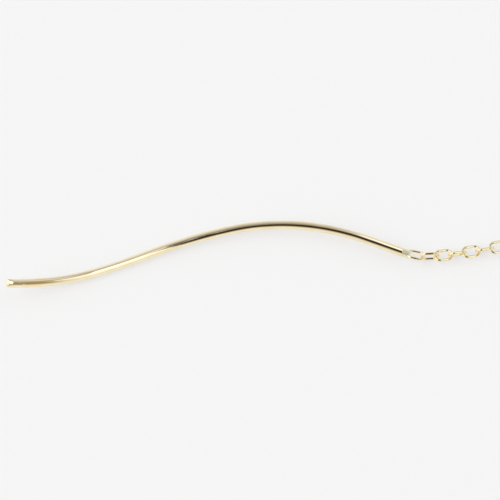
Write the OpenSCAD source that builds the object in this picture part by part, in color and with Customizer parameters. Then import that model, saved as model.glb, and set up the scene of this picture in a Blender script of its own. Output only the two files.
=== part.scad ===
// A threader earring, in millimetres, as it lies on a table: a long round wire bent into a wave, a fine cable
// chain soldered to one end of it, and a straight threading post soldered to the chain's far end.
// +X runs from the wave's free end towards the chain, +Y away from the viewer and +Z up.

/* [Wave bar] */
// Diameter of the bar's round wire
bar_d = 0.8; // [0.6:0.05:1.1]
// Length of the bar, measured along its wire
bar_len = 36.6; // [28:0.2:46]
// Turn of the long hump next to the chain, in degrees
hump_turn = 42; // [25:1:60]
// Turn of the short bend of the tail, the other way, in degrees
tail_turn = 25.5; // [12:0.5:38]
// Roll of the hump's bend about the wire, which lifts its middle, in degrees
hump_roll = 7; // [2:1:14]
// Roll of the tail's bend about the wire, which lifts the free end, in degrees
tail_roll = 56; // [30:1:70]
// Rounding of the edge at the bar's free end
bar_round = 0.2; // [0.05:0.05:0.25]

/* [Chain] */
// Number of loose links between the two links that are soldered on
link_count = 40; // [16:1:40]
// Outer length of a link
link_len = 1.8; // [1.6:0.05:2.4]
// Outer width of a link
link_w = 1.2; // [1.1:0.05:1.5]
// Diameter of the links' wire
link_wire = 0.26; // [0.2:0.01:0.28]
// Gap between the wires of two links that hold each other
link_gap = 0.03; // [0.02:0.01:0.06]
// Turn from one link to the next along the plain far stretch, in degrees
chain_curl = 3; // [1:0.25:4]

/* [Threading post] */
// Diameter of the straight post that passes through the ear
post_d = 0.8; // [0.6:0.05:1.1]
// Length of the post's round wire, from its solder to its tip
post_len = 14; // [8:0.5:20]
// Rounding of the edge at the post's tip
post_round = 0.25; // [0.05:0.05:0.25]

/* [Solder] */
// Bridge of solder between the end of a wire and the link that it holds
solder_gap = 0.25; // [0.15:0.05:0.4]
// How far the solder runs on along the link's own wire
solder_run = 0.3; // [0.15:0.05:0.35]
// Diameter of the solder where it ends, inside the link
solder_d = 0.4; // [0.3:0.02:0.46]
// How far the solder laps over the end of the wire
solder_lap = 0.04; // [0.02:0.01:0.06]
// How far the solder stands proud of the wire there
solder_proud = 0.02; // [0.01:0.01:0.03]

/* [Hidden] */
// Columns of the bar's table: a stretch's share of the bar's length, of the hump's turn and of the tail's turn.
// The first row is the straight stretch next to the chain and the last one ends at the free end.
LENGTH = 0;
HUMP = 1;
TAIL = 2;
wave = [
    [0.10, 0, 0],
    [0.35, 0.79, 0],
    [0.20, 0.21, 0],
    [0.14, 0, 0.20],
    [0.14, 0, 0.60],
    [0.07, 0, 0.20],
];
// Way that the bar leaves its chain end, in degrees from +X
bar_heading = 158;
// The chain's route, chosen by hand: the way that each of its first links points, in degrees from +X, and how
// far its near side is rolled up. The first row is the link that is soldered to the bar.
HEADING = 0;
LEAN = 1;
chain_route = [
    [-15, 28],
    [0, 96],
    [5, 8],
    [6, 79],
    [8, 2],
    [8, 71],
    [9, -6],
];
// Lean of the links on the far stretch, which lie flat and stand on edge by turns, and how much it varies
flat_lean = 0;
stand_lean = 82;
lean_sway = 6;
sway_step = 70;

bar_r = bar_d / 2;
post_r = post_d / 2;
solder_len = solder_lap + solder_gap + solder_run;
// A link's wire runs round two half circles and two straight sides
link_mean_r = (link_w - link_wire) / 2;
link_straight = link_len - link_w;
link_pitch = link_len - 2 * link_wire - link_gap;
last_link = link_count + 1;
// The chain's middle line lies half a link's width above the table, as high as a link that stands on edge
line_z = link_w / 2;
// Length of the straight piece that carries the bar's rounded edge
tip_len = 0.5;
// The stretches of the bar start a hair past their seams, and a ball that stands a hair proud closes each seam
seam_gap = 0.03;
seam_proud = 0.008;
// How finely bends, round wires and balls are drawn, and how many points of a stretch find its lowest place
bend_steps = 360;
wire_steps = 32;
ball_steps = 48;
samples = 12;

function two_digits(i) = str(i < 10 ? "0" : "", i);
function link_name(i) = str("chain_link_", two_digits(i));

// Frames as 4 by 4 matrices, with +X along the wire
function move_by(v) = [[1, 0, 0, v.x], [0, 1, 0, v.y], [0, 0, 1, v.z], [0, 0, 0, 1]];
function roll_by(a) = [[1, 0, 0, 0], [0, cos(a), -sin(a), 0], [0, sin(a), cos(a), 0], [0, 0, 0, 1]];
function tilt_by(a) = [[cos(a), 0, sin(a), 0], [0, 1, 0, 0], [-sin(a), 0, cos(a), 0], [0, 0, 0, 1]];
function turn_by(a) = [[cos(a), -sin(a), 0, 0], [sin(a), cos(a), 0, 0], [0, 0, 1, 0], [0, 0, 0, 1]];
function place(m) = [m[0][3], m[1][3], m[2][3]];
function along(m) = [m[0][0], m[1][0], m[2][0]];
function direction(a) = [cos(a), sin(a), 0];

// A stretch of the given length and turn: its radius, and the frame at its far end, seen from its near end
function bend_r(len, turn) = len / abs(turn) * 180 / PI;
function bend_end(len, turn) = turn == 0
    ? move_by([len, 0, 0])
    : let (r = bend_r(len, turn), side = sign(turn))
      move_by([r * sin(abs(turn)), side * r * (1 - cos(turn)), 0]) * turn_by(turn);

function row_len(i) = wave[i][LENGTH] * (bar_len - tip_len);
function row_turn(i) = wave[i][HUMP] * hump_turn - wave[i][TAIL] * tail_turn;
function row_roll(i) = wave[i][TAIL] > 0 ? -tail_roll : -hump_roll;
// The frame in which row i of the wave is bent, before the bar is tipped onto the table
function row_frame(i) = i == 0
    ? turn_by(bar_heading) * roll_by(row_roll(0))
    : row_frame(i - 1) * bend_end(row_len(i - 1), row_turn(i - 1)) * roll_by(row_roll(i) - row_roll(i - 1));
function row_part(i, share) = row_frame(i) * bend_end(share * row_len(i), share * row_turn(i));
last_row = len(wave) - 1;
tip_frame = row_part(last_row, 1);
seam_frames = concat([for (i = [1:last_row]) row_frame(i)], [tip_frame]);
function seam_share(i) = i == 0 ? 0 : seam_gap / row_len(i);
bar_line = concat(
    [for (i = [0:last_row]) for (k = [1:samples]) row_part(i, k / samples)],
    [tip_frame * move_by([tip_len, 0, 0])]
);

// The bar hangs on the chain's line at one end. Its tilt is the smallest one that brings its wire down to the
// table: each sample touches where the height h cos(t) + x sin(t) is the wire's radius less the line's height.
bar_drop = line_z - bar_r;
function touch_tilt(p) =
    let (reach = norm([p.x, p.z]))
    acos(-bar_drop / reach) - atan2(-p.x, p.z);
bar_tilt = min([for (m = bar_line) if (norm(place(m)) > bar_len / 10) touch_tilt(place(m))]);
bar_place = move_by([0, 0, line_z]) * tilt_by(-bar_tilt);

// The chain's links, from the one soldered to the bar, 0, to the one soldered to the post, last_link
route_last = len(chain_route) - 1;
function heading(i) = i <= route_last
    ? chain_route[i][HEADING]
    : chain_route[route_last][HEADING] - chain_curl * (i - route_last);
function lean(i) = i <= route_last
    ? chain_route[i][LEAN]
    : (i % 2 == 0 ? flat_lean : stand_lean) + lean_sway * sin(sway_step * i);
function centre(i) = i == 0
    ? [0, 0, line_z] + (solder_gap + link_len / 2) * direction(heading(0))
    : centre(i - 1) + link_pitch / 2 * (direction(heading(i - 1)) + direction(heading(i)));

// The post starts at its own soldered link and slopes down until its tip lies on the table
post_heading = heading(last_link);
post_start = centre(last_link) + (solder_gap + link_len / 2) * direction(post_heading);
post_slope = asin((line_z - post_r) / post_len);
post_place = move_by(post_start) * turn_by(post_heading) * tilt_by(post_slope);
post_end = post_place * move_by([post_len, 0, 0]);

// Outermost points along axis k, 0 for X and 1 for Y: of a round wire at a frame, and of a link
function wire_half(m, r, k) = r * sqrt(max(0, 1 - pow(along(m)[k], 2)));
function link_half(i, k) =
    let (a = heading(i), forward = direction(a)[k], side = direction(a + 90)[k] * cos(lean(i)))
    abs(forward) * link_straight / 2 + link_mean_r * norm([forward, side]) + link_wire / 2;
placed_line = [for (m = bar_line) bar_place * m];
function low(k) = min(concat(
    [for (m = placed_line) place(m)[k] - wire_half(m, bar_r, k)],
    [for (i = [1:last_link]) centre(i)[k] - link_half(i, k)],
    [place(post_end)[k] - wire_half(post_end, post_r, k)]
));
function high(k) = max(concat(
    [for (m = placed_line) place(m)[k] + wire_half(m, bar_r, k)],
    [for (i = [1:last_link]) centre(i)[k] + link_half(i, k)],
    [place(post_end)[k] + wire_half(post_end, post_r, k)]
));
// The origin is on the table, under the middle of the whole earring
to_origin = -[low(0) + high(0), low(1) + high(1), 0] / 2;

// A stretch of round wire from the origin along +X, bent by turn degrees, to the left when positive
module bent_wire(len, turn, r) {
    if (turn == 0) {
        rotate([0, 90, 0]) cylinder(r = r, h = len, $fn = wire_steps);
    } else if (turn < 0) {
        mirror([0, 1, 0]) bent_wire(len, -turn, r);
    } else {
        translate([0, bend_r(len, turn), 0])
            rotate([0, 0, -90])
                rotate_extrude(angle = turn, $fn = bend_steps)
                    translate([bend_r(len, turn), 0])
                        circle(r = r, $fn = wire_steps);
    }
}

// A straight wire from the origin along +X, whose far edge is rounded
module tipped_wire(len, r, rounding) {
    rotate([0, 90, 0])
        rotate_extrude($fn = wire_steps)
            union() {
                square([r - rounding, len]);
                square([r, len - rounding]);
                translate([r - rounding, len - rounding])
                    intersection() {
                        circle(r = rounding, $fn = wire_steps);
                        square(rounding);
                    }
            }
}

// A long link lying flat, with its middle at the origin and its length along X
module link() {
    for (end = [0, 180])
        rotate([0, 0, end])
            translate([link_straight / 2, 0, 0])
                rotate([0, 0, -90])
                    rotate_extrude(angle = 180, $fn = wire_steps)
                        translate([link_mean_r, 0])
                            circle(d = link_wire, $fn = wire_steps);
    for (side = [-1, 1])
        translate([0, side * link_mean_r, 0])
            rotate([0, 90, 0])
                cylinder(d = link_wire, h = link_straight, center = true, $fn = wire_steps);
}

// Link i of the chain in its place
module placed_link(i) {
    translate(centre(i))
        rotate([0, 0, heading(i)])
            rotate([-lean(i), 0, 0])
                link();
}

// Solder that laps over the start of a wire of radius r and runs along -X into the end of the link there
module solder(r) {
    translate([solder_lap, 0, 0])
        rotate([0, -90, 0])
            cylinder(r1 = r + solder_proud, r2 = solder_d / 2, h = solder_len, $fn = wire_steps);
}

module wave_bar() {
    color("goldenrod")
        translate(to_origin) {
            multmatrix(bar_place) {
                for (i = [0:last_row])
                    multmatrix(row_part(i, seam_share(i)))
                        bent_wire(row_len(i) * (1 - seam_share(i)), row_turn(i) * (1 - seam_share(i)), bar_r);
                for (m = seam_frames)
                    multmatrix(m) rotate([0, 90, 0]) sphere(r = bar_r + seam_proud, $fn = ball_steps);
                multmatrix(tip_frame * move_by([seam_gap, 0, 0]))
                    tipped_wire(tip_len - seam_gap, bar_r, bar_round);
                multmatrix(row_frame(0)) solder(bar_r);
            }
            placed_link(0);
        }
}

module chain_link(i) {
    color("gold")
        translate(to_origin) placed_link(i);
}

module threading_post() {
    color("goldenrod")
        translate(to_origin) {
            multmatrix(post_place) {
                tipped_wire(post_len, post_r, post_round);
                solder(post_r);
            }
            placed_link(last_link);
        }
}

wave_bar();
for (i = [1:link_count]) chain_link(i);
threading_post();
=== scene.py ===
import bpy
import numpy as np
from mathutils import Matrix


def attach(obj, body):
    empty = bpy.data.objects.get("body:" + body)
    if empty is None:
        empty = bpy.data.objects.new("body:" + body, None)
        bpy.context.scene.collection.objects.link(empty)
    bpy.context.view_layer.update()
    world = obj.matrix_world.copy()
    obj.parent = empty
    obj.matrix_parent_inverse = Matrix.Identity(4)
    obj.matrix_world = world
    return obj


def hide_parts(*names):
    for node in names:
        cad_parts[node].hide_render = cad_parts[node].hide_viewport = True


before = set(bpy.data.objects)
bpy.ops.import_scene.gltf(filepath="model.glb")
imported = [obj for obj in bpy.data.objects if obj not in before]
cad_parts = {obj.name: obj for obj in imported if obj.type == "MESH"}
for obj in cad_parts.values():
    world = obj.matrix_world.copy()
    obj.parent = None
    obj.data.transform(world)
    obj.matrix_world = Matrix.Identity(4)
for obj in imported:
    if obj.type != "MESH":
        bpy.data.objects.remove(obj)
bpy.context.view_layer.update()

# The camera looks down on the table from the viewer's side, close to, so that the wire's free end comes
# near the left edge of the picture and the chain runs out at the right. It leans a little to one side,
# as a hand-held one does.
MM = 0.001
# The picture's width and the focal length, both in the picture's pixels, and the sensor's width in
# millimetres
PICTURE = 500
LENS_PIXELS = 1531
SENSOR = 36
# The place on the table that the middle of the picture shows, and the camera's height over the table
LOOK_AT = np.array([-14.371919, 19.7293, 0]) * MM
CAMERA_HEIGHT = 127.8 * MM
CAMERA_ELEVATION = np.radians(67.8)
CAMERA_ROLL = np.radians(-1.77)
# Nothing nearer or farther than this shows in the picture
CAMERA_NEAR = 5 * MM
CAMERA_FAR = 20

forward = np.array([0, np.cos(CAMERA_ELEVATION), -np.sin(CAMERA_ELEVATION)])
level_right = np.array([1.0, 0, 0])
level_up = np.cross(level_right, forward)
camera_place = np.eye(4)
camera_place[:3, 0] = np.cos(CAMERA_ROLL) * level_right + np.sin(CAMERA_ROLL) * level_up
camera_place[:3, 1] = np.cos(CAMERA_ROLL) * level_up - np.sin(CAMERA_ROLL) * level_right
camera_place[:3, 2] = -forward
camera_place[:3, 3] = LOOK_AT - forward * CAMERA_HEIGHT / np.sin(CAMERA_ELEVATION)
camera = bpy.data.objects.new("camera", bpy.data.cameras.new("camera"))
camera.data.sensor_width = SENSOR
camera.data.lens = LENS_PIXELS / PICTURE * SENSOR
camera.data.clip_start = CAMERA_NEAR
camera.data.clip_end = CAMERA_FAR
camera.matrix_world = Matrix(camera_place.tolist())
bpy.context.scene.collection.objects.link(camera)
bpy.context.scene.camera = camera


# The wave bar's wire: drawn round brass wire, gold plated, bent by hand into one long hump and a short
# flick the other way. Its free end is rounded off and pinched flat on top, and its other end meets the
# solder.
WIRE_R = 0.4 * MM
BAR_LEN = 36.6 * MM
TIP_LEN = 0.5 * MM
TIP_ROUND = 0.2 * MM
# How far the hump and the flick, which is the wire's tail, turn, and how far each bend is rolled about
# the wire
HUMP_TURN = np.radians(42)
TAIL_TURN = np.radians(25.5)
HUMP_ROLL = np.radians(7)
TAIL_ROLL = np.radians(56)
# Each stretch of the wave, from the chain on: its share of the bar's length, of the hump's turn and of
# the tail's turn
WAVE = [(0.10, 0, 0), (0.35, 0.79, 0), (0.20, 0.21, 0), (0.14, 0, 0.20), (0.14, 0, 0.60), (0.07, 0, 0.20)]
# The middle of the wire's soldered end, the way the wire leaves it, and the tilt that brings the wire
# down to the table near the flick
BAR_END = np.array([-0.671919, 18.7993, 0.6]) * MM
BAR_HEADING = np.radians(158)
BAR_TILT = np.radians(2.13353)
# The steps between the rings of the wire's skin, the closer ones near its free end, how many rings its
# rounding has, and how many points a ring has
RING_STEP = 0.1 * MM
FINE_STEP = 0.03 * MM
ROUNDING_RINGS = 16
RING_POINTS = 64
# The pinched end: its length, how much of the upper half's height is pressed in at the very end, its
# roll towards the viewer, and how soft its edge is
PINCH_LEN = 0.53 * MM
PINCH_SHARE = 0.68
PINCH_ROLL = np.radians(30)
PINCH_EDGE = 0.01 * MM
# A slight waist behind the pinched end, from the cutting pliers: its distance from the end, its depth
# and its reach
WAIST_PLACE = 1.3 * MM
WAIST_DEPTH = 0.007 * MM
WAIST_REACH = 0.22 * MM
# Slight hollows from bending and polishing, made up of a few waves: their greatest depth, the least and
# the greatest length of a wave, and how many times each wave turns over round the wire
HOLLOW_DEPTH = 0.004 * MM
SHORTEST_WAVE = 2.2 * MM
LONGEST_WAVE = 6.5 * MM
HOLLOW_TURNS = (1, 2, 2, 3, 4)
# The finish: the scale and detail of a soft cloud over the metal, the range of the cloud over which the
# two golds blend and the one over which the roughness drifts, and the fine drawn lines' scale, detail
# and height
CLOUD_SCALE = 900
CLOUD_DETAIL = 3
BLEND_RANGE = (0.35, 0.65)
DRIFT_RANGE = (0.3, 0.7)
LINE_SCALE = 26
LINE_DETAIL = 4
LINE_HEIGHT = 0.002 * MM


def turned(axis, angle):
    """The 3 by 3 matrix of a turn by angle about axis 0, 1 or 2, counted as the right hand curls."""
    a, b = (axis + 1) % 3, (axis + 2) % 3
    matrix = np.eye(3)
    matrix[a, a] = matrix[b, b] = np.cos(angle)
    matrix[a, b] = -np.sin(angle)
    matrix[b, a] = np.sin(angle)
    return matrix


def steps_to_tip(length, rounding, step):
    """Places along a straight length: even steps up to its rounding, then closer ones, rounding times
    the sine of an even angle, so that the rings are evenly spread round the curve of the rounding."""
    straight = length - rounding
    even = np.linspace(0, straight, int(np.ceil(straight / step)) + 1)[:-1]
    return np.concatenate([even, straight + rounding * np.sin(np.linspace(0, np.pi / 2, ROUNDING_RINGS))])


def bar_line():
    """The bar's middle line and the way it runs. Each stretch is an arc, laid in the axes that the one
    before it ends with and rolled about the wire. At a share s of its length it has turned by an angle
    of s times its turn, and the chord from its start is s length sin(angle / 2) / (angle / 2) long and
    leans by angle / 2."""
    points, ways = [], []
    place, axes, roll = np.zeros(3), turned(2, BAR_HEADING), 0.0
    for stretch in WAVE:
        share, hump, tail = stretch
        length = share * (BAR_LEN - TIP_LEN)
        turn = hump * HUMP_TURN - tail * TAIL_TURN
        new_roll = -TAIL_ROLL if tail else -HUMP_ROLL
        axes = axes @ turned(0, new_roll - roll)
        roll = new_roll
        step = FINE_STEP if stretch is WAVE[-1] else RING_STEP
        s = np.linspace(0, 1, int(np.ceil(length / step)) + 1)
        angle = s * turn
        chord = s * length * np.sinc(angle / 2 / np.pi)
        arc = np.stack([chord * np.cos(angle / 2), chord * np.sin(angle / 2), 0 * s], -1) @ axes.T
        points.append((place + arc)[:-1])
        ways.append((np.stack([np.cos(angle), np.sin(angle), 0 * s], -1) @ axes.T)[:-1])
        place = place + arc[-1]
        axes = axes @ turned(2, turn)
    to_tip = steps_to_tip(TIP_LEN, TIP_ROUND, FINE_STEP)[:, None]
    points.append(place + to_tip * axes[:, 0])
    ways.append(np.repeat(axes[None, :, 0], len(to_tip), 0))
    tilt = turned(1, BAR_TILT)
    return np.concatenate(points) @ tilt.T + BAR_END, np.concatenate(ways) @ tilt.T


def lengths_along(line):
    """The distance along a line to each of its points: the running sum of the steps between them."""
    return np.concatenate([[0], np.cumsum(np.linalg.norm(np.diff(line, axis=0), axis=1))])


def upright_sides(ways):
    """Two directions square to each way: a level one, up cross way, and one that stands on both."""
    side = np.cross([0, 0, 1.0], ways)
    side /= np.linalg.norm(side, axis=1, keepdims=True)
    return side, np.cross(ways, side)


def angles_round(count):
    """Even angles once round a circle."""
    return np.linspace(0, 2 * np.pi, count, endpoint=False)


def carried_round(line, side, up, radius, count=RING_POINTS):
    """A grid of points: at step i and angle a, line_i + radius_ia (cos a side_i + sin a up_i)."""
    angle = angles_round(count)[:, None]
    ring = np.cos(angle) * side[:, None] + np.sin(angle) * up[:, None]
    return line[:, None] + radius[..., None] * ring


def rounded_end(from_end, rounding):
    """The wire's radius, which over the last rounding of its length falls as a quarter circle. from_end
    is the distance left to the end."""
    into_round = np.clip(1 - from_end / rounding, 0, 1)
    return WIRE_R - rounding * (1 - np.sqrt(1 - into_round**2))


def hollows(along, seed):
    """The depth of the hollows, from 0 to HOLLOW_DEPTH: half of it times 1 plus the mean of the waves,
    each of which is a sine of the distance along the wire times a sine of the angle round it."""
    rng = np.random.default_rng(seed)
    total = 0
    for turns in HOLLOW_TURNS:
        wave_length = rng.uniform(SHORTEST_WAVE, LONGEST_WAVE)
        phase = rng.uniform(0, 2 * np.pi)
        twist = rng.uniform(0, 2 * np.pi)
        along_sine = np.sin(2 * np.pi * along[:, None] / wave_length + phase)
        total = total + along_sine * np.sin(turns * angles_round(RING_POINTS) + twist)
    return HOLLOW_DEPTH * (1 + total / len(HOLLOW_TURNS)) / 2


def positive_part(value, softness):
    """The value where it is well above 0 and 0 where it is well below: (v + sqrt(v^2 + s^2)) / 2."""
    return (value + np.hypot(value, softness)) / 2


def pinched(grid, line, press_way, share):
    """Presses in the half of each ring that faces press_way: its height over the line falls by share."""
    over = ((grid - line[:, None]) * press_way[:, None]).sum(-1)
    pressed_in = share[:, None] * positive_part(over, PINCH_EDGE)
    return grid - pressed_in[..., None] * press_way[:, None]


def skin(name, grid, along, ends=None):
    """A mesh object over a grid of rings. Quads join each ring to the next, and the last to the first
    where ends is None. Else a fan closes each end at one of the two points in ends. The UV map is the
    distance along the wire and round it, in millimetres."""
    rings, around = grid.shape[:2]
    i, j = np.meshgrid(np.arange(rings if ends is None else rings - 1), np.arange(around), indexing="ij")
    corner_i = np.stack([i, i, i + 1, i + 1], -1).reshape(-1, 4)
    corner_j = np.stack([j, j + 1, j + 1, j], -1).reshape(-1, 4)
    faces = ((corner_i % rings) * around + corner_j % around).tolist()
    points = grid.reshape(-1, 3)
    along_mm = np.append(along, 2 * along[-1] - along[-2]) / MM
    spacing_mm = np.pi * np.linalg.norm(grid[0, 0] - grid[0, around // 2]) / around / MM
    uv = np.stack([along_mm[corner_i], corner_j * spacing_mm], -1).reshape(-1, 2)
    if ends is not None:
        j = np.arange(around)
        following = (j + 1) % around
        last_ring = (rings - 1) * around
        start_fan = np.stack([0 * j + len(points), following, j], -1)
        end_fan = np.stack([0 * j + len(points) + 1, last_ring + j, last_ring + following], -1)
        faces += np.concatenate([start_fan, end_fan]).tolist()
        points = np.concatenate([points, ends])
        fan_uv = np.stack([np.repeat([0, along_mm[rings - 1]], around), np.tile(j * spacing_mm, 2)], -1)
        uv = np.concatenate([uv, np.repeat(fan_uv, 3, 0)])
    mesh = bpy.data.meshes.new(name)
    mesh.from_pydata(points.tolist(), [], faces)
    mesh.uv_layers.new(name="along_wire").data.foreach_set("uv", uv.astype(np.float32).ravel())
    mesh.polygons.foreach_set("use_smooth", np.ones(len(faces), bool))
    mesh.validate()
    obj = bpy.data.objects.new(name, mesh)
    bpy.context.scene.collection.objects.link(obj)
    return obj


def fill_inputs(tree, node, inputs):
    """Links each input to the output that is given for it, or sets it. A colour is three numbers."""
    for socket, value in inputs.items():
        target = node.inputs[socket]
        if isinstance(value, bpy.types.NodeSocket):
            tree.links.new(value, target)
        elif target.type == "RGBA":
            target.default_value = (*value, 1)
        else:
            target.default_value = value


def add_node(tree, kind, inputs, **settings):
    """A node of a material or of the surroundings, with its settings and its inputs."""
    node = tree.nodes.new(kind)
    for setting, value in settings.items():
        setattr(node, setting, value)
    fill_inputs(tree, node, inputs)
    return node


def colour_bands(tree, value, bands):
    """Straight blends between the colours of bands, which are (place, colour) pairs."""
    node = add_node(tree, "ShaderNodeValToRGB", {"Fac": value})
    for _ in bands[2:]:
        node.color_ramp.elements.new(0.5)
    for element, (place, colour) in zip(node.color_ramp.elements, bands):
        element.position = place
        element.color = (*colour, 1)
    return node.outputs["Color"]


def gold_finish(name, light_gold, deep_gold, smoothest, roughest, line_stretch, line_strength):
    """Polished gold. The cloud blends the two golds and makes the roughness drift from smoothest to
    roughest. The drawn lines are a bump of noise on the UV map, stretched along the wire."""
    mat = bpy.data.materials.new(name)
    mat.use_nodes = True
    tree = mat.node_tree
    maps = add_node(tree, "ShaderNodeTexCoord", {}).outputs
    cloud_inputs = {"Vector": maps["Object"], "Scale": CLOUD_SCALE, "Detail": CLOUD_DETAIL}
    cloud = add_node(tree, "ShaderNodeTexNoise", cloud_inputs).outputs["Fac"]
    gold = colour_bands(tree, cloud, list(zip(BLEND_RANGE, (deep_gold, light_gold))))
    drift_inputs = {"Value": cloud, "To Min": smoothest, "To Max": roughest}
    drift_inputs["From Min"], drift_inputs["From Max"] = DRIFT_RANGE
    roughness = add_node(tree, "ShaderNodeMapRange", drift_inputs).outputs["Result"]
    stretch = add_node(tree, "ShaderNodeMapping", {"Vector": maps["UV"], "Scale": (line_stretch, 1, 1)})
    line_inputs = {"Vector": stretch.outputs["Vector"], "Scale": LINE_SCALE, "Detail": LINE_DETAIL}
    lines = add_node(tree, "ShaderNodeTexNoise", line_inputs).outputs["Fac"]
    bump_inputs = {"Height": lines, "Strength": line_strength, "Distance": LINE_HEIGHT}
    bump = add_node(tree, "ShaderNodeBump", bump_inputs).outputs["Normal"]
    shader = tree.nodes["Principled BSDF"]
    fill_inputs(tree, shader, {"Metallic": 1, "Base Color": gold, "Roughness": roughness, "Normal": bump})
    return mat


def finish_piece(obj, material, node):
    """Gives a piece its material and its place on the one body, and hides the CAD node that it stands in
    for.
    """
    obj.data.materials.append(material)
    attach(obj, "root")
    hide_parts(node)


wire_gold = gold_finish(
    "wire_gold",
    light_gold=(1.0, 0.88, 0.63),
    deep_gold=(0.97, 0.83, 0.55),
    smoothest=0.02,
    roughest=0.05,
    line_stretch=0.02,
    line_strength=0.2,
)
line, ways = bar_line()
along = lengths_along(line)
side, up = upright_sides(ways)
from_end = along[-1] - along
waist = WAIST_DEPTH * np.exp(-(((from_end - WAIST_PLACE) / WAIST_REACH) ** 2))
radius = (rounded_end(from_end, TIP_ROUND) - waist)[:, None] - hollows(along, seed=7)
press_way = np.cos(PINCH_ROLL) * up + np.sin(PINCH_ROLL) * side
press_share = PINCH_SHARE * np.clip(1 - from_end / PINCH_LEN, 0, 1)
grid = pinched(carried_round(line, side, up, radius), line, press_way, press_share)
bar = skin("bar_wire", grid, along, [line[0], grid[-1].mean(0)])
finish_piece(bar, wire_gold, "wave_bar")


# The solder between the wire's end and the link that it holds: silver-grey solder with a thin wash of
# gold, which has run over the edge of the wire and through the end of the link, and has drawn in to a
# hollow cone.
SOLDER_RINGS = 40
# How far the solder laps over the wire, bridges to the link and runs on along the link, how far it
# stands proud of the wire, and its radius at its far end before that is rounded off
SOLDER_LAP = 0.04 * MM
SOLDER_GAP = 0.25 * MM
SOLDER_RUN = 0.42 * MM
SOLDER_PROUD = 0.012 * MM
SOLDER_END_R = 0.33 * MM
# The power of the share of the solder's length by which its radius falls, and the shares at its two
# ends over which it rounds off
SOLDER_FALL = 1.3
SOLDER_START_ROUND = 0.05
SOLDER_END_ROUND = 0.3
# How nearly the far end closes, as a share of the square of its radius
SOLDER_CLOSED = 0.98
# The lumps: their height, how many times each wave of them turns over round the solder, what this is
# multiplied by for the angle that the wave runs through along it, and the range of the waves' phases
LUMP_HEIGHT = 0.010 * MM
LUMP_TURNS = (2, 3, 5)
LUMP_RUN = 3
LUMP_PHASES = (0, 6)


def add_solder(name, node, start, way, seed):
    """A skin over rings along the wire's own line. The radius falls from just over the wire's to
    SOLDER_END_R with the share of the length to the power SOLDER_FALL, and both ends round off as part
    of a circle. The lumps are sines along and round it, which fade to its ends as a half sine."""
    share = np.linspace(0, 1, SOLDER_RINGS)
    line = start + (SOLDER_LAP - share * (SOLDER_LAP + SOLDER_GAP + SOLDER_RUN))[:, None] * way
    start_r = WIRE_R + SOLDER_PROUD
    radius = start_r + (SOLDER_END_R - start_r) * share**SOLDER_FALL
    into_start = np.clip(1 - share / SOLDER_START_ROUND, 0, 1)
    into_end = np.clip(1 - (1 - share) / SOLDER_END_ROUND, 0, 1)
    radius = radius * np.sqrt(1 - SOLDER_CLOSED * into_end**2)
    radius = radius - SOLDER_PROUD * (1 - np.sqrt(1 - into_start**2))
    rng = np.random.default_rng(seed)
    lumps = 0
    for turns in LUMP_TURNS:
        round_sine = np.sin(turns * angles_round(RING_POINTS) + rng.uniform(*LUMP_PHASES))
        along_sine = np.sin(LUMP_RUN * turns * share + rng.uniform(*LUMP_PHASES))
        lumps = lumps + round_sine * along_sine[:, None]
    lumps = lumps * LUMP_HEIGHT * np.sin(np.pi * share)[:, None]
    side, up = upright_sides(np.repeat(-way[None], SOLDER_RINGS, 0))
    grid = carried_round(line, side, up, radius[:, None] + lumps)
    piece = skin(name, grid, lengths_along(line), [line[0], line[-1]])
    finish_piece(piece, solder_gold, node)


solder_gold = gold_finish(
    "solder_gold",
    light_gold=(0.97, 0.92, 0.70),
    deep_gold=(0.82, 0.76, 0.54),
    smoothest=0.28,
    roughest=0.42,
    line_stretch=0.5,
    line_strength=0.8,
)
add_solder("bar_solder", "wave_bar", line[0], ways[0], seed=11)


# The cable chain: forty loose links, and one at each end that is soldered to its wire. Each is a piece
# of fine round brass wire, gold plated, bent to a long ring and closed with a butt joint in the middle
# of one side, which is soldered and polished.
LINK_LEN = 1.8 * MM
LINK_W = 1.2 * MM
LINK_WIRE = 0.26 * MM
LINK_GAP = 0.03 * MM
LINK_COUNT = 40
LAST_LINK = LINK_COUNT + 1
LINK_BEND_R = (LINK_W - LINK_WIRE) / 2
LINK_STRAIGHT = LINK_LEN - LINK_W
LINK_PITCH = LINK_LEN - 2 * LINK_WIRE - LINK_GAP
# The rings of a link's skin on each of its half circles and straight sides, and the points of a ring
BEND_RINGS = 30
SIDE_RINGS = 14
LINK_RING_POINTS = 20
# The way that each of the first links points, in degrees from +X, and how far its near side is rolled up
CHAIN_ROUTE = [(-15, 28), (0, 96), (5, 8), (6, 79), (8, 2), (8, 71), (9, -6)]
# From there on, in degrees: the turn from each link to the next, the roll of a link that lies flat and
# of one that stands, and how far and how fast the rolls sway from link to link
CHAIN_CURL = 3
FLAT_ROLL = 0
STANDING_ROLL = 82
ROLL_SWAY = 6
SWAY_STEP = 70
# A bead of solder at the butt joint: its height and its reach
BEAD_HEIGHT = 0.012 * MM
BEAD_REACH = 0.07 * MM
# The links are rubbed slightly flat on the side that faces this way, this deep, with edges this soft,
# and the link that is held in the bar's solder less deep
RUB_WAY = np.array([0, -0.376, 0.927])
RUB_DEPTH = 0.014 * MM
SOLDERED_RUB = 0.004 * MM
RUB_EDGE = 0.003 * MM
# The first loose link is tipped up a little at its far end, and stands this much higher, clear of the
# table
TIPPED_LINK = 1
TIPPED_BY = np.radians(4)
TIPPED_RISE = 0.02 * MM


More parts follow.
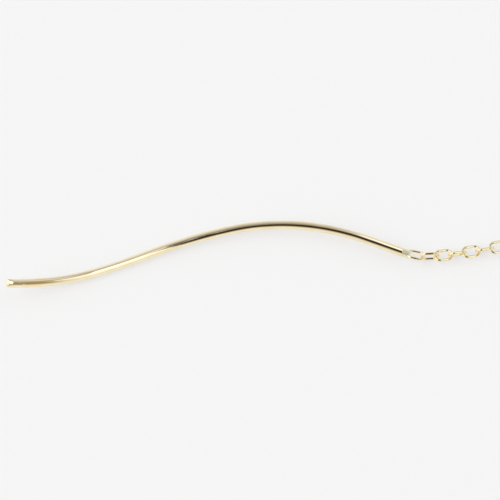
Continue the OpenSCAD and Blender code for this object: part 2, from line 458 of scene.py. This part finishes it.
def chain_places():
    """The middle, heading and roll of every link, and the way it points: each middle is half a pitch
    along its own way and half a pitch along the last one's from the middle before it."""
    number = np.arange(LAST_LINK + 1)
    known = len(CHAIN_ROUTE)
    heading = CHAIN_ROUTE[-1][0] - CHAIN_CURL * (number - known + 1.0)
    sway = ROLL_SWAY * np.sin(np.radians(SWAY_STEP * number))
    roll = np.where(number % 2, STANDING_ROLL, FLAT_ROLL) + sway
    heading[:known], roll[:known] = np.transpose(CHAIN_ROUTE)
    heading, roll = np.radians(heading), np.radians(roll)
    way = np.stack([np.cos(heading), np.sin(heading), 0 * heading], -1)
    steps = LINK_PITCH / 2 * (way[1:] + way[:-1])
    first = BAR_END + (SOLDER_GAP + LINK_LEN / 2) * way[0]
    return first + np.concatenate([np.zeros((1, 3)), np.cumsum(steps, 0)]), heading, roll, way


def link_grid(middle, turn, joint_side, rub):
    """A round profile carried along a long ring: two half circles of LINK_BEND_R, LINK_STRAIGHT apart,
    and the two straight sides between them. At the middle of one side stands the bead of the butt
    joint. What stands further than the wire's radius less rub from its middle line towards RUB_WAY is
    moved back to there."""
    bend = np.linspace(-np.pi / 2, np.pi / 2, BEND_RINGS)
    straight = np.linspace(0, 1, SIDE_RINGS + 2)[1:-1]
    facing = np.concatenate([bend, 0 * straight + np.pi / 2, bend + np.pi, 0 * straight + 1.5 * np.pi])
    shift = np.concatenate([0 * bend + 0.5, 0.5 - straight, 0 * bend - 0.5, straight - 0.5]) * LINK_STRAIGHT
    outward = np.stack([np.cos(facing), np.sin(facing), 0 * facing], -1)
    line = LINK_BEND_R * outward + np.stack([shift, 0 * shift, 0 * shift], -1)
    from_joint = np.hypot(line[:, 0], line[:, 1] - joint_side * LINK_BEND_R)
    bead = BEAD_HEIGHT * np.exp(-((from_joint / BEAD_REACH) ** 2))
    up = np.repeat([[0, 0, 1.0]], len(line), 0)
    grid = carried_round(line, -outward, up, (LINK_WIRE / 2 + bead)[:, None], LINK_RING_POINTS)
    rub_way = turn.T @ RUB_WAY
    past_rub = (grid - line[:, None]) @ rub_way - (LINK_WIRE / 2 - rub)
    grid = grid - positive_part(past_rub, RUB_EDGE)[..., None] * rub_way
    return grid @ turn.T + middle, line


chain_gold = gold_finish(
    "chain_gold",
    light_gold=(1.0, 0.90, 0.64),
    deep_gold=(0.96, 0.80, 0.46),
    smoothest=0.05,
    roughest=0.12,
    line_stretch=0.05,
    line_strength=0.1,
)
link_middles, link_headings, link_rolls, link_ways = chain_places()
for number in range(LAST_LINK + 1):
    tipped_by, rise = (TIPPED_BY, TIPPED_RISE) if number == TIPPED_LINK else (0, 0)
    middle = link_middles[number] + np.array([0, 0, rise])
    turn = turned(2, link_headings[number]) @ turned(1, -tipped_by) @ turned(0, -link_rolls[number])
    # On a standing link the joint is on the upper side, and on a flat one it is on either side
    joint_side = -1 if number % 2 or number % 3 == 0 else 1
    rub = RUB_DEPTH if number else SOLDERED_RUB
    grid, ring_line = link_grid(middle, turn, joint_side, rub)
    if number == 0:
        name, node, slot = "bar_link", "wave_bar", "bar_gold"
    elif number == LAST_LINK:
        name, node, slot = "post_link", "threading_post", "bar_gold"
    else:
        name, node, slot = f"link_{number:02d}", f"chain_link_{number:02d}", "chain_gold"
    ring = skin(name, grid, lengths_along(ring_line))
    # The link on the bar and the first loose one are as pale and smooth as the bar's wire
    finish_piece(ring, wire_gold if number <= TIPPED_LINK else chain_gold, node)


# The threading post: a straight piece of the same round wire, soldered to the chain's last link. Its
# far end is rounded and polished smooth, so that it passes through the ear, and it lies on the table.
POST_LEN = 14 * MM
POST_ROUND = 0.25 * MM
POST_RING_STEP = 0.2 * MM
# The slope that brings the post down to the table from the height of the chain
POST_SLOPE = np.arcsin((BAR_END[2] - WIRE_R) / POST_LEN)

post_way = turned(2, link_headings[LAST_LINK]) @ turned(1, POST_SLOPE) @ np.array([1.0, 0, 0])
post_start = link_middles[LAST_LINK] + (SOLDER_GAP + LINK_LEN / 2) * link_ways[LAST_LINK]
along = steps_to_tip(POST_LEN, POST_ROUND, POST_RING_STEP)
line = post_start + along[:, None] * post_way
side, up = upright_sides(np.repeat(post_way[None], len(line), 0))
radius = rounded_end(POST_LEN - along, POST_ROUND)[:, None] - hollows(along, seed=23)
post = skin("post_wire", carried_round(line, side, up, radius), along, [line[0], line[-1]])
finish_piece(post, wire_gold, "threading_post")
add_solder("post_solder", "threading_post", post_start, post_way, seed=31)


# The table that the earring lies on: a plain, pale and nearly matt board, which glows faintly of
# itself, so that the shadows on it stay light.
FLOOR_HALF = 3.0
FLOOR_GREY = (0.35, 0.35, 0.35)
FLOOR_GLOW = (0.545, 0.545, 0.55)
FLOOR_ROUGHNESS = 0.9
FLOOR_SHINE = 0.1

floor_mesh = bpy.data.meshes.new("floor")
corners = np.array([(-1, -1, 0), (1, -1, 0), (1, 1, 0), (-1, 1, 0)]) * FLOOR_HALF
floor_mesh.from_pydata(corners.tolist(), [], [(0, 1, 2, 3)])
floor = bpy.data.objects.new("floor", floor_mesh)
bpy.context.scene.collection.objects.link(floor)
floor_white = bpy.data.materials.new("floor_white")
floor_white.use_nodes = True
floor_inputs = {
    "Base Color": FLOOR_GREY,
    "Emission Color": FLOOR_GLOW,
    "Emission Strength": 1,
    "Roughness": FLOOR_ROUGHNESS,
    "Specular IOR Level": FLOOR_SHINE,
}
fill_inputs(floor_white.node_tree, floor_white.node_tree.nodes["Principled BSDF"], floor_inputs)
floor_mesh.materials.append(floor_white)


# Two soft round lamps, one on the right and one on the left. They light the table and cast the soft
# shadows on it, and don't show in the metal, because the surroundings hold what it mirrors.
LAMP_DISTANCE = 500 * MM
# Each lamp: the way to it, the width of its round face, and its power in watts
LAMPS = {
    "key": ((0.80, 0.36, 0.48), 460 * MM, 0.90),
    "left_panel": ((-0.80, -0.16, 0.60), 700 * MM, 1.32),
}


def hang_lamp(lamp, centre, back, side, in_metal):
    """Hangs a lamp at centre, with its back to the way back and its width along side. The camera
    doesn't see it. Where in_metal is true it only shows in the metal, and otherwise it only lights what
    it falls on."""
    place = np.eye(4)
    place[:3, 0] = side
    place[:3, 1] = np.cross(back, side)
    place[:3, 2] = back
    place[:3, 3] = centre
    hung = bpy.data.objects.new(lamp.name, lamp)
    hung.matrix_world = Matrix(place.tolist())
    hung.visible_camera = False
    hung.visible_glossy = in_metal
    hung.visible_diffuse = not in_metal
    bpy.context.scene.collection.objects.link(hung)


for name, (way, size, power) in LAMPS.items():
    lamp = bpy.data.lights.new(name, "AREA")
    lamp.shape = "DISK"
    lamp.size = size
    lamp.energy = power
    back = np.array(way) / np.linalg.norm(way)
    side = np.cross([0, 0, 1.0], back)
    hang_lamp(lamp, back * LAMP_DISTANCE, back, side / np.linalg.norm(side), in_metal=False)


# A pane of light that hangs flat, close over the bar's left half. It shows in the metal alone, where
# its right edge ends the bright band along the bar.
PANE_GLOW = 0.66
PANE_COLOUR = (0.95, 1.0, 1.08)
# A place on its right edge, the turn of that edge from +Y, the pane's width to the left of it, and how
# far it goes on along the edge from that place, away from the viewer and towards the viewer
PANE_EDGE = np.array([-23.1, 20, 70]) * MM
PANE_TURN = np.radians(18)
PANE_WIDTH = 50 * MM
PANE_AWAY = 20 * MM
PANE_NEAR = 16 * MM

pane = bpy.data.lights.new("pane", "AREA")
pane.shape = "RECTANGLE"
pane.size = PANE_WIDTH
pane.size_y = PANE_AWAY + PANE_NEAR
pane.energy = PANE_GLOW * np.pi * pane.size * pane.size_y
pane.color = PANE_COLOUR
to_left = np.array([-np.cos(PANE_TURN), -np.sin(PANE_TURN), 0])
along_edge = np.array([-np.sin(PANE_TURN), np.cos(PANE_TURN), 0])
pane_centre = PANE_EDGE + PANE_WIDTH / 2 * to_left + (PANE_AWAY - PANE_NEAR) / 2 * along_edge
hang_lamp(pane, pane_centre, np.array([0, 0, 1.0]), to_left, in_metal=True)


# The surroundings that the metal mirrors: a pale wall away from the viewer, with a long light tube and
# a thin strip over it, a dark hood on the viewer's side, with a bright window to its right, and a wide
# light high on the left.
world = bpy.data.worlds.new("studio")
bpy.context.scene.world = world
world.use_nodes = True
sky = world.node_tree
direction = add_node(sky, "ShaderNodeTexCoord", {}).outputs["Generated"]
parts = add_node(sky, "ShaderNodeSeparateXYZ", {"Vector": direction}).outputs
# Which inputs and which output of a Mix node hold its two colours and their blend
MIX_FIRST = 6
MIX_SECOND = 7
MIX_BLEND = 2


def calculate(operation, first, second=0.0):
    """The result of an operation on one or two numbers."""
    return add_node(sky, "ShaderNodeMath", {0: first, 1: second}, operation=operation).outputs[0]


def part_along(way):
    """The part of a direction that lies along way: their dot product."""
    product = add_node(sky, "ShaderNodeVectorMath", {0: direction, 1: way}, operation="DOT_PRODUCT")
    return product.outputs["Value"]


def part_at(angle):
    """The part of a direction along a way that it lies angle degrees from: the angle's cosine."""
    return float(np.cos(np.radians(angle)))


def soft_step(value, start, end):
    """0 where value is at start, 1 where it is at end, along a smooth S between them."""
    inputs = {"Value": value, "From Min": start, "From Max": end}
    return add_node(sky, "ShaderNodeMapRange", inputs, interpolation_type="SMOOTHSTEP").outputs["Result"]


def blend_colours(share, first, second):
    """first where share is 0 and second where it is 1."""
    inputs = {"Factor": share, MIX_FIRST: first, MIX_SECOND: second}
    return add_node(sky, "ShaderNodeMix", inputs, data_type="RGBA").outputs[MIX_BLEND]


def long_light(lean, place, half_width, glow, fade_in, fade_out):
    """A straight light: its glow, times how near a direction lies to the line x - lean y = place, and
    times how far it has faded in and not yet faded out along +Y."""
    from_line = calculate("ABSOLUTE", calculate("SUBTRACT", part_along((1, -lean, 0)), place))
    fading = calculate("MULTIPLY", soft_step(parts["Y"], *fade_in), soft_step(parts["Y"], *fade_out))
    share = calculate("MULTIPLY", soft_step(from_line, half_width, 0.0), fading)
    return blend_colours(share, (0, 0, 0), glow)


# The wall in bands of colour, from the horizon up to straight overhead
WALL = [
    (0.0, (0.80, 0.82, 0.87)),
    (part_at(65), (0.66, 0.665, 0.70)),
    (part_at(45), (0.57, 0.565, 0.58)),
    (part_at(30), (0.50, 0.49, 0.47)),
    (part_at(15), (0.37, 0.35, 0.31)),
    (1.0, (0.14, 0.12, 0.09)),
]
# A glow on the wall's left, and where it starts and is full, by the part along +X
LEFT_GLOW = (0.12, 0.125, 0.14)
LEFT_GLOW_EDGE = (-0.08, -0.26)

tube = long_light(
    lean=0.44,
    place=0.0,
    half_width=0.12,
    glow=(0.34, 0.35, 0.37),
    fade_in=(0.10, 0.35),
    fade_out=(0.95, 0.45),
)
strip = long_light(
    lean=0.34,
    place=0.030,
    half_width=0.04,
    glow=(0.56, 0.62, 0.70),
    fade_in=(-0.05, 0.08),
    fade_out=(0.90, 0.45),
)
left_glow = blend_colours(soft_step(parts["X"], *LEFT_GLOW_EDGE), (0, 0, 0), LEFT_GLOW)
wall = colour_bands(sky, parts["Z"], WALL)
for light in (tube, strip, left_glow):
    wall = add_node(sky, "ShaderNodeVectorMath", {0: wall, 1: light}, operation="ADD").outputs["Vector"]

# The hood in bands likewise. Beside the window they come lower, by HOOD_DROP of the part along +Z
HOOD = [
    (0.0, (0.95, 0.95, 0.98)),
    (part_at(60), (0.54, 0.51, 0.46)),
    (part_at(50), (0.26, 0.22, 0.17)),
    (part_at(40), (0.04, 0.027, 0.012)),
    (part_at(15), (0.015, 0.009, 0.003)),
    (1.0, (0.05, 0.04, 0.03)),
]
HOOD_DROP = 0.2
# The window in bands by the part along +X, and its colour at the horizon
WINDOW = [
    (0.0, (0.46, 0.46, 0.47)),
    (0.07, (1.15, 1.22, 1.30)),
    (0.25, (1.05, 1.10, 1.14)),
    (0.31, (0.95, 0.96, 0.90)),
    (0.38, (0.42, 0.335, 0.20)),
    (0.46, (0.31, 0.25, 0.18)),
    (0.70, (0.78, 0.77, 0.74)),
]
HORIZON_COLOUR = (0.82, 0.81, 0.77)
# The turn of the window's edge from +Y, and where along the way across it the hood drops and the window
# starts
WINDOW_TURN = np.radians(18)
HOOD_DROP_EDGE = (-0.22, -0.06)
WINDOW_EDGE = (-0.021, -0.010)
# Where the horizon's colour fades in, by the part along +Z, and where the viewer's side does, along +Y
HORIZON_EDGE = (part_at(60), part_at(80))
VIEWER_EDGE = (0.12, -0.10)

across = part_along((float(np.cos(WINDOW_TURN)), float(np.sin(WINDOW_TURN)), 0.0))
drop = calculate("MULTIPLY", soft_step(across, *HOOD_DROP_EDGE), HOOD_DROP)
hood = colour_bands(sky, calculate("ADD", parts["Z"], drop), HOOD)
window = colour_bands(sky, parts["X"], WINDOW)
window = blend_colours(soft_step(parts["Z"], *HORIZON_EDGE), window, HORIZON_COLOUR)
viewer_side = blend_colours(soft_step(across, *WINDOW_EDGE), hood, window)
surroundings = blend_colours(soft_step(parts["Y"], *VIEWER_EDGE), wall, viewer_side)

# The wide light high on the left: the way to its middle, its soft edge and its colour
LEFT_LIGHT_WAY = (-0.72, -0.05, 0.69)
LEFT_LIGHT_EDGE = (part_at(37), part_at(34))
LEFT_LIGHT = (1.12, 1.14, 1.12)

in_left_light = soft_step(part_along(LEFT_LIGHT_WAY), *LEFT_LIGHT_EDGE)
surroundings = blend_colours(in_left_light, surroundings, LEFT_LIGHT)
fill_inputs(sky, sky.nodes["Background"], {"Color": surroundings})
bpy.context.scene.view_settings.view_transform = "Standard"
